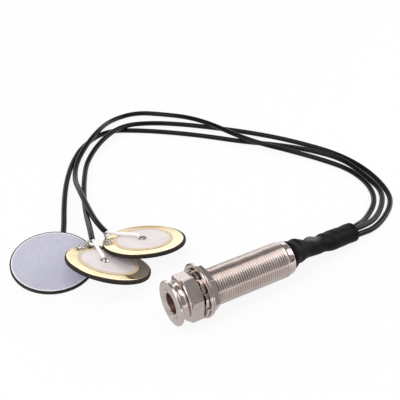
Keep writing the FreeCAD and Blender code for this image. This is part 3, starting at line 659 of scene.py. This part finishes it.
for number in (1, 2, 3):
    radii = [0.0] + list(np.linspace(1.0, 13.0, 28)) + [13.38, 13.46, 13.5, 13.5, 13.46, 13.38, 6.0, 0.0]
    heights = [0.0] * 30 + [-0.02, -0.08, -0.17, -0.23, -0.25, -0.25, -0.25]
    grid = plate(radii, heights, AROUND)
    near = np.hypot(grid[..., 0] - RIM_JOINT[0], grid[..., 1] - RIM_JOINT[1])
    reach = 2.9 + 0.5 * uneven(AROUND[None, :] * 3, grid[..., 0], 40 + number)
    stain_and_shade = np.clip((reach - near) / 1.6, 0, 0.75)
    # On the third disc the far side gets the same tan as painted shade.
    toward_shaded_side = grid[..., 0] * math.cos(SHADED_SIDE) + grid[..., 1] * math.sin(SHADED_SIDE)
    most = 0.75 if number == 3 else 0.0
    stain_and_shade = np.maximum(stain_and_shade, np.clip((toward_shaded_side - 7.5) / 6, 0, 1) * most)
    piece = surface("disc_%d_brass_plate" % number, on_disc(number, grid), sharp=40, fields={"flux_and_shade": stain_and_shade})
    dress(piece, brass, "brass", "disc_%d_brass" % number)

    wave = 0.03 * uneven(FINE_AROUND, 0.0, 50 + number, fastest=24)
    grid = plate([0, 8.0, 9.85, 9.97, 10.0, 10.0, 0], [0.2, 0.2, 0.2, 0.18, 0.14, 0.0, 0.0], FINE_AROUND,
                 np.array([[0], [0], [1], [1], [1], [1], [0]]) * wave)
    piece = surface("disc_%d_wafer" % number, on_disc(number, grid), sharp=40)
    dress(piece, ceramic, "electrode", "disc_%d_ceramic" % number)

    wave = 0.04 * uneven(FINE_AROUND, 0.0, 60 + number, fastest=30)
    grid = plate([0, 4.0, 8.0, 8.62, 8.74, 8.8, 8.8, 0], [0.215, 0.215, 0.215, 0.215, 0.213, 0.207, 0.2, 0.2],
                 FINE_AROUND, np.array([[0], [0], [0], [1], [1], [1], [1], [0]]) * wave)
    rim = np.array([0, 0, 0, 0, 0.5, 1, 1, 0.0])[:, None]
    piece = surface("disc_%d_silver" % number, on_disc(number, grid), sharp=60, fields={"edge": rim})
    dress(piece, silver, "electrode")

    deep = np.linspace(0, 1, 13)
    torn = uneven(FINE_AROUND[None, :], 6 * deep[:, None], 70 + number, waves=24, fastest=120)
    bulge = 0.05 * np.sin(np.pi * deep)[:, None] + 0.035 * torn
    side = plate(np.full(13, FOAM_R), -0.25 - 1.05 * deep, FINE_AROUND, bulge)
    centre_top = plate([0, 12.0], [-0.25, -0.25], FINE_AROUND)
    centre_low = plate([12.0, 0], [-1.30, -1.30], FINE_AROUND)
    grid = np.concatenate([centre_top, side, centre_low]) - PAD_SHIFT[number]
    piece = surface("disc_%d_foam_pad" % number, on_disc(number, grid), sharp=70)
    dress(piece, foam, "foam", "disc_%d_foam" % number)

    grid = plate([0, 6.0, 13.0, 13.22, 13.42, 13.47, 13.47, 0],
                 [-1.40, -1.40, -1.40, -1.395, -1.385, -1.36, -1.30, -1.30], FINE_AROUND) - PAD_SHIFT[number]
    rim = np.array([0, 0, 0, 1.0, 1.0, 1.0, 0, 0.0])[:, None]
    piece = surface("disc_%d_release_paper" % number, on_disc(number, grid), sharp=60, fields={"edge": rim})
    dress(piece, paper, "paper", "disc_%d_paper" % number)

# %% [markdown]
# Each lead ends in two wires. The core has a white polythene skin and runs over the wafer to its
# joint in the middle; the screen is a twist of fine tinned strands that is soldered to the brass
# at the rim. Both follow a smooth line through the same places as in the CAD model.

# %% Wire finishes
white, tree, shader = new_finish("white_polythene", Roughness=0.32, Base_Color=linear("#FAF9F9"))
place = add(tree, "ShaderNodeTexCoord").outputs["Object"]
draw = add(tree, "ShaderNodeTexNoise", {"Vector": place, "Scale": per_mm(0.8), "Detail": 2.0})
bump(tree, shader, draw.outputs["Fac"], 0.01)

tinned, tree, shader = new_finish("tinned_copper_strand", Metallic=1.0, Roughness=0.3)
place = add(tree, "ShaderNodeTexCoord").outputs["Object"]
wear = add(tree, "ShaderNodeTexNoise", {"Vector": place, "Scale": per_mm(0.9), "Detail": 3.0})
tint = add(tree, "ShaderNodeValToRGB", {"Fac": wear.outputs["Fac"]})
tint.color_ramp.elements[0].color = linear("#8C7568")
tint.color_ramp.elements[0].position = 0.35
tint.color_ramp.elements[1].color = linear("#DAD2CE")
tint.color_ramp.elements[1].position = 0.62
tree.links.new(tint.outputs["Color"], shader.inputs["Base Color"])

solder, tree, shader = new_finish("soft_solder", Metallic=1.0, Roughness=0.25)
place = add(tree, "ShaderNodeTexCoord").outputs["Object"]
flow = add(tree, "ShaderNodeTexNoise",
           {"Vector": place, "Scale": per_mm(0.7), "Detail": 4.0, "Roughness": 0.7})
tint = add(tree, "ShaderNodeValToRGB", {"Fac": flow.outputs["Fac"]})
tint.color_ramp.elements[0].color = linear("#54453D")
tint.color_ramp.elements[0].position = 0.42
tint.color_ramp.elements[1].color = linear("#DCD6D4")
tint.color_ramp.elements[1].position = 0.58
tree.links.new(tint.outputs["Color"], shader.inputs["Base Color"])
bump(tree, shader, flow.outputs["Fac"], 0.10)
print("wire finishes ready")


# %% [markdown]
# Solder freezes as a lumpy drop, so a joint is half an ellipsoid whose radius is uneven. The strands of
# the screen wind round one line, a quarter turn apart, as the lay of a real twist does.

# %% Wires and joints on the discs
def blob(middle, along, across, height, direction, seed):
    """Half an ellipsoid with lumps: (along cos a sin b, across sin a sin b, height cos b) * (1 + lumps)."""
    a = np.radians(np.arange(0, 360, 7.5))[None, :]
    b = np.radians(np.linspace(0, 90, 15))[:, None]
    lumps = 1 + 0.13 * uneven(a, 2.6 * b, seed, fastest=4) * np.sin(b) + 0.05 * np.cos(3 * b)
    x, y = along * np.cos(a) * np.sin(b) * lumps, across * np.sin(a) * np.sin(b) * lumps
    z = height * np.cos(b) * lumps + 0 * a
    c, s = math.cos(direction), math.sin(direction)
    return np.stack([middle[0] + c * x - s * y, middle[1] + s * x + c * y, middle[2] + z], -1)


ROUND = np.radians(np.arange(0, 360, 15))
CORE_STEPS = {1: (-0.6, -0.9, -0.6, 0.4, 0.0), 2: (-0.4, -0.2, 0.6, 0.4, 1.2),
              3: (-0.9, -1.7, -2.0, 0.4, -0.4)}
rim_x, rim_y = RIM_JOINT
for number, (off, edge, near, x, y) in CORE_STEPS.items():
    knots = np.array([(14.0, -0.35, 1.8), (11.7, off, 1.23), (8.6, edge, 0.74), (3.6, near, 0.74),
                      (x + 1.0, y, 0.74)])
    line = smooth_line(knots, 40)
    skin_r = np.full(40, 0.62)
    skin_r[-4:] = (0.60, 0.54, 0.45, 0.3)
    tube = np.concatenate([line[:1, None] + 0 * round_line(line, skin_r[:, None], ROUND)[:1],
                           round_line(line, skin_r[:, None], ROUND),
                           line[-1:, None] + 0 * round_line(line, skin_r[:, None], ROUND)[-1:]])
    piece = surface("disc_%d_core_wire" % number, on_disc(number, tube), sharp=50)
    dress(piece, white, "core", "disc_%d_core" % number)

    bare = smooth_line([line[-2], (x + 0.4, y, 0.62), (x - 0.5, y - 0.1, 0.5)], 12)
    piece = surface("disc_%d_core_tip" % number, on_disc(number, round_line(bare, 0.2, ROUND)), sharp=50)
    dress(piece, tinned, "screen")

    knots = np.array([(14.0, 0.45, 1.6), (12.8, 0.4 * rim_y, 1.02), (11.8, 0.7 * rim_y, 0.53),
                      (rim_x + 0.3, rim_y - 0.1, 0.49)])
    line = smooth_line(knots, 60)
    for strand in range(4):
        wind = np.linspace(0, 3.2 * np.pi, 60) + strand * np.pi / 2
        helix = round_line(line, 0.24, np.array([0.0]))[:, 0] - line
        other = round_line(line, 0.24, np.array([np.pi / 2]))[:, 0] - line
        path = line + helix * np.cos(wind)[:, None] + other * np.sin(wind)[:, None]
        piece = surface("disc_%d_screen_strand_%d" % (number, strand + 1),
                        on_disc(number, round_line(path, 0.19, ROUND[::2])), sharp=60)
        dress(piece, tinned, "screen", *(("disc_%d_screen" % number,) if strand == 0 else ()))

    piece = surface("disc_%d_middle_solder" % number,
                    on_disc(number, blob((x, y, 0.19), 1.55, 1.2, 0.85, 0.4, 80 + number)), sharp=60)
    dress(piece, solder, "solder", "disc_%d_core_joint" % number)
    drop = blob((rim_x + 0.4, rim_y - 0.8, -0.02), 2.9, 1.15, 0.85, math.radians(120.9), 90 + number)
    piece = surface("disc_%d_rim_solder" % number, on_disc(number, drop), sharp=60)
    dress(piece, solder, "solder", "disc_%d_rim_joint" % number)

# %% [markdown]
# The sleeve is heat-shrink tube. It has shrunk on whatever is under it, so it is wide at the barrel,
# narrow over the joints, and a plain oval over the three leads. It is a tube along a smooth line
# whose radius follows the line, with a few bumps where a tag or a lead pushes it out.

# %% Heat-shrink sleeve
def on_axis(s):
    """The point on the jack's axis at s, in millimetres."""
    return tuple(1000 * on_jack(np.array(s), np.array(0.0), np.array(0.0)))


END = on_axis(42.0)
TUCK = [on_axis(39.8) + (4.65, 4.65), END + (4.65, 4.65)]
BEYOND = [
    (0.85, 0.55, 0.0, 4.6, 4.6), (2.95, 2.6, -0.2, 3.85, 3.9), (5.5, 4.95, -0.6, 3.25, 3.4),
    (8.6, 7.4, -1.4, 2.95, 2.95), (12.2, 10.15, -2.5, 2.8, 2.7), (15.4, 12.95, -3.65, 3.35, 3.1),
    (18.9, 16.1, -4.5, 3.45, 3.2), (22.15, 18.8, -5.08, 3.5, 3.25), (24.35, 20.4, -5.3, 3.55, 3.3),
]
SLEEVE = np.array(TUCK + [(END[0] + x, END[1] + y, END[2] + z, w, h) for x, y, z, w, h in BEYOND])
ROWS = 240
along_sleeve = smooth_line(SLEEVE, ROWS)
middle, width, height = along_sleeve[:, :3], along_sleeve[:, 3:4], along_sleeve[:, 4:5]
travel = np.concatenate([[0], np.cumsum(np.linalg.norm(np.diff(middle, axis=0), axis=1))])[:, None]
turn = np.radians(np.arange(0, 360, 3.0))[None, :]


def bump_at(distance, angle, length, spread, amount):
    """A smooth hill on the sleeve: a bell curve along it times a bell curve round it."""
    round_it = (turn - math.radians(angle) + np.pi) % (2 * np.pi) - np.pi
    return amount * np.exp(-((travel - distance) / length) ** 2 - (round_it / math.radians(spread)) ** 2)


HILLS = [
    (7.0, 128, 1.5, 50, 0.75), (11.0, 128, 1.2, 45, -0.9), (13.6, 128, 1.4, 45, 0.35),
    (19.2, 128, 1.9, 50, 0.5), (24.0, 128, 4.0, 50, 0.3), (15.5, -46, 4.0, 50, 0.3),
    (3.9, 128, 1.2, 60, 0.5), (4.3, -46, 1.3, 55, -1.1),
]
oval = np.hypot(width * np.cos(turn), height * np.sin(turn))
lumps = 0.05 * uneven(turn, 0.9 * travel, 7, fastest=4) * np.clip((travel - 2.4) / 3, 0, 1)
for hill in HILLS:
    lumps = lumps + bump_at(*hill)
lumps = lumps * np.clip((travel - 2.2) / 0.9, 0, 1)
shell = round_line(middle, oval + lumps, turn[0])
lining = round_line(middle, oval + lumps - 0.45, turn[0])
lip = 0.5 * (shell[-1:] + lining[-1:])
heading = (middle[-1] - middle[-2]) / np.linalg.norm(middle[-1] - middle[-2])
grid = np.concatenate([shell, lip + 0.12 * heading, lining[::-1]]) / 1000

sleeve_black, tree, shader = new_finish("shrunk_polyolefin", Roughness=0.5, Specular_IOR_Level=0.08)
place = add(tree, "ShaderNodeTexCoord").outputs["Object"]
wrinkle = add(tree, "ShaderNodeTexNoise", {"Vector": place, "Scale": per_mm(2.2), "Detail": 3.0})
skin = add(tree, "ShaderNodeTexNoise", {"Vector": place, "Scale": per_mm(0.3), "Detail": 2.0})
both = add(tree, "ShaderNodeMix", {"Factor": 0.25, "A": wrinkle.outputs["Fac"], "B": skin.outputs["Fac"]})
bump(tree, shader, both.outputs["Result"], 0.12)
# Painted highlight: a paler grey on the top of the flap, where top-lit wrinkles catch the light, and along a
# crease.
painted_light_node = add(tree, "ShaderNodeAttribute", attribute_name="pale")
painted_highlight_share = add(tree, "ShaderNodeMath", {0: painted_light_node.outputs["Fac"], 1: wrinkle.outputs["Fac"]},
             operation="MULTIPLY")
tint = add(tree, "ShaderNodeMix", {"Factor": painted_highlight_share.outputs["Value"], "A": linear("#0C0A0D"),
                                   "B": linear("#9A9093")}, data_type="RGBA")
tree.links.new(tint.outputs[2], shader.inputs["Base Color"])
# The values in pale are painted highlight on the flap and along the crease.
pale = np.clip((bump_at(13.8, 104, 3.2, 38, 1.0) - 0.18) / 0.60, 0, 0.80)
crease = bump_at(12.6 + 1.1 * np.cos(turn - math.radians(100)), 130, 0.3, 50, 0.55)
pale = np.maximum(pale, crease)
pale = np.concatenate([pale, pale[-1:], pale[::-1]])
sleeve = surface("shrunk_sleeve", grid, closed_rows=True, sharp=60, fields={"pale": pale})
dress(sleeve, sleeve_black, "sleeve", "heat_shrink")

# %% [markdown]
# The jackets are soft black PVC with a slight gloss: a dark body and a long pale streak where a lamp
# lies along them. A weak waviness from the extruder breaks that streak up.

# %% Lead jackets
jacket, tree, shader = new_finish("black_pvc_jacket", Roughness=0.25, Specular_IOR_Level=0.19,
                                  Base_Color=linear("#07060A"))
place = add(tree, "ShaderNodeTexCoord").outputs["Object"]
drawn = add(tree, "ShaderNodeTexNoise", {"Vector": place, "Scale": per_mm(1.6), "Detail": 2.0})
bump(tree, shader, drawn.outputs["Fac"], 0.03)
for lead in leads.values():
    lead.data.materials.append(jacket)
print("jackets on", len(leads), "leads")

# %% [markdown]
# A few pieces sit inside the barrel and the sleeve and show only from the ends. Their CAD shapes are
# right as they are, so they keep them and only get a finish.

# %% Pieces inside the jack
phenolic, tree, shader = new_finish("moulded_phenolic", Roughness=0.45)
place = add(tree, "ShaderNodeTexCoord").outputs["Object"]
flour = add(tree, "ShaderNodeTexNoise", {"Vector": place, "Scale": per_mm(0.4), "Detail": 3.0})
tint = add(tree, "ShaderNodeValToRGB", {"Fac": flour.outputs["Fac"]})
tint.color_ramp.elements[0].color = linear("#121110")
tint.color_ramp.elements[1].color = linear("#2A2624")
tree.links.new(tint.outputs["Color"], shader.inputs["Base Color"])

spring, tree, shader = new_finish("nickel_silver_strip", Metallic=1.0)
place = add(tree, "ShaderNodeTexCoord").outputs["Object"]
brushed = add(tree, "ShaderNodeTexNoise", {"Vector": place, "Scale": per_mm(0.5), "Detail": 2.0})
tint = add(tree, "ShaderNodeValToRGB", {"Fac": brushed.outputs["Fac"]})
tint.color_ramp.elements[0].color = linear("#B9AE96")
tint.color_ramp.elements[1].color = linear("#D6CCB6")
tree.links.new(tint.outputs["Color"], shader.inputs["Base Color"])
dull = add(tree, "ShaderNodeMapRange", {"Value": brushed.outputs["Fac"], "To Min": 0.2, "To Max": 0.35})
tree.links.new(dull.outputs["Result"], shader.inputs["Roughness"])

for name, finish in (("barrel_liner", phenolic), ("contact_carrier", phenolic), ("tip_contact", spring),
                     ("ground_tag", spring), ("tip_joint", solder), ("ground_joint", solder),
                     ("tail_cores", white), ("tail_screen", tinned)):
    for held in nodes[name].material_slots:
        held.material = finish
    print(name, "in", finish.name)

# %% [markdown]
# The photograph is a cut-out on white. The floor is white by its own light in what the camera and
# shiny metal see, with a share of lit paper that keeps the object's shadow. What the metal sees of it
# is dimmer in the few centimetres round the object and brighter farther off, like a lit sweep.

# %% Floor
bpy.ops.mesh.primitive_plane_add(size=8.0, location=(0, 0, -0.0001))
floor = bpy.context.object
floor.name = "floor"
white_floor = bpy.data.materials.new("white_paper_floor")
white_floor.use_nodes = True
tree = white_floor.node_tree
tree.nodes.clear()
lit = add(tree, "ShaderNodeBsdfDiffuse", {"Color": linear("#F4F4F4")})
glow = add(tree, "ShaderNodeEmission", {"Color": (1, 1, 1, 1)})
path = add(tree, "ShaderNodeLightPath")
seen = add(tree, "ShaderNodeMath", {0: path.outputs["Is Camera Ray"], 1: path.outputs["Is Glossy Ray"]},
           operation="MAXIMUM")
shown = add(tree, "ShaderNodeMath", {0: seen.outputs["Value"], 1: path.outputs["Is Transmission Ray"]},
            operation="MAXIMUM")
share = add(tree, "ShaderNodeMath", {0: shown.outputs["Value"], 1: 0.90}, operation="MULTIPLY")
# Painted shade: what shiny metal sees of the floor glows dimmer within a few centimetres of the object,
# standing in for its shadow there.
place = add(tree, "ShaderNodeTexCoord").outputs["Object"]
away = add(tree, "ShaderNodeVectorMath", {0: place}, operation="LENGTH")
mirrored = add(tree, "ShaderNodeMapRange", {"Value": away.outputs["Value"], "From Min": 0.025,
                                            "From Max": 0.15, "To Min": 0.72, "To Max": 1.55},
               interpolation_type="SMOOTHSTEP")
strength = add(tree, "ShaderNodeMix", {"Factor": path.outputs["Is Camera Ray"],
                                       "A": mirrored.outputs["Result"], "B": 1.0})
tree.links.new(strength.outputs["Result"], glow.inputs["Strength"])
both = add(tree, "ShaderNodeMixShader", {"Fac": share.outputs["Value"], 1: lit.outputs["BSDF"],
                                         2: glow.outputs["Emission"]})
add(tree, "ShaderNodeOutputMaterial", {"Surface": both.outputs["Shader"]})
floor.data.materials.append(white_floor)
print("floor", floor.dimensions[:])

# %% [markdown]
# Bright metal shows the studio round it, so the studio is part of its look: a soft panel on the left,
# another low on the right, a white sweep low behind, and a dim room with a pale ceiling and a window at
# the near left. Each part of the room is a smooth step on the direction that a mirrored ray leaves in.

# %% Lamps and surroundings
def softbox(name, azimuth, elevation, distance, size, radiance):
    """A square lamp that faces the object; its power is radiance * pi * area."""
    lamp = bpy.data.lights.new(name, "AREA")
    lamp.shape = "SQUARE"
    lamp.size = size
    lamp.energy = radiance * math.pi * size ** 2
    holder = bpy.data.objects.new(name, lamp)
    a, e = math.radians(azimuth), math.radians(elevation)
    level = distance * math.cos(e)
    holder.location = (level * math.cos(a), level * math.sin(a), distance * math.sin(e))
    holder.rotation_euler = (math.pi / 2 - e, 0, a + math.pi / 2)
    holder.visible_camera = False
    bpy.context.scene.collection.objects.link(holder)


softbox("left_panel", -148, 45, 0.55, 0.40, 2.0)
softbox("right_panel", 20, 28, 0.55, 0.30, 2.8)

world = bpy.data.worlds.new("studio")
bpy.context.scene.world = world
world.use_nodes = True
tree = world.node_tree
tree.nodes.clear()
toward = add(tree, "ShaderNodeTexCoord").outputs["Generated"]
parts = add(tree, "ShaderNodeSeparateXYZ", {"Vector": toward})
x, y, z = (parts.outputs[axis] for axis in "XYZ")
low = add(tree, "ShaderNodeMapRange", {"Value": z, "From Min": 0.044, "From Max": 0.078},
          interpolation_type="SMOOTHSTEP")
high = add(tree, "ShaderNodeMapRange", {"Value": z, "From Min": 0.30, "From Max": 0.48, "To Min": 1.0,
                                        "To Max": 0.0}, interpolation_type="SMOOTHSTEP")
behind = add(tree, "ShaderNodeMapRange", {"Value": y, "From Min": 0.1, "From Max": 0.5},
             interpolation_type="SMOOTHSTEP")
band = add(tree, "ShaderNodeMath", {0: low.outputs["Result"], 1: high.outputs["Result"]},
           operation="MULTIPLY")
sweep = add(tree, "ShaderNodeMath", {0: band.outputs["Value"], 1: behind.outputs["Result"]},
            operation="MULTIPLY")
bright = add(tree, "ShaderNodeMath", {0: sweep.outputs["Value"], 1: 1.5}, operation="MULTIPLY")
front = add(tree, "ShaderNodeMapRange", {"Value": y, "From Min": -0.1, "From Max": 0.45, "To Min": 0.36,
                                         "To Max": 0.30}, interpolation_type="SMOOTHSTEP")
overhead = add(tree, "ShaderNodeMapRange", {"Value": z, "From Min": 0.86, "From Max": 0.97, "To Max": 1.6},
               interpolation_type="SMOOTHSTEP")
leftward = add(tree, "ShaderNodeMapRange", {"Value": x, "From Min": 0.05, "From Max": -0.35,
                                            "To Max": 0.62}, interpolation_type="SMOOTHSTEP")
nearer = add(tree, "ShaderNodeMapRange", {"Value": y, "From Min": -0.1, "From Max": -0.55},
             interpolation_type="SMOOTHSTEP")
window = add(tree, "ShaderNodeMath", {0: leftward.outputs["Result"], 1: nearer.outputs["Result"]},
             operation="MULTIPLY")
room = add(tree, "ShaderNodeMath", {0: front.outputs["Result"], 1: overhead.outputs["Result"]},
           operation="ADD")
lighter = add(tree, "ShaderNodeMath", {0: room.outputs["Value"], 1: window.outputs["Value"]},
              operation="ADD")
level = add(tree, "ShaderNodeMath", {0: lighter.outputs["Value"], 1: bright.outputs["Value"]},
            operation="ADD")
around = add(tree, "ShaderNodeBackground", {"Color": (1, 1, 1, 1), "Strength": level.outputs["Value"]})
backdrop = add(tree, "ShaderNodeBackground", {"Color": (1, 1, 1, 1), "Strength": 1.0})
path = add(tree, "ShaderNodeLightPath")
chosen = add(tree, "ShaderNodeMixShader", {"Fac": path.outputs["Is Camera Ray"],
                                           1: around.outputs["Background"],
                                           2: backdrop.outputs["Background"]})
add(tree, "ShaderNodeOutputWorld", {"Surface": chosen.outputs["Shader"]})
bpy.context.scene.view_settings.view_transform = "Standard"
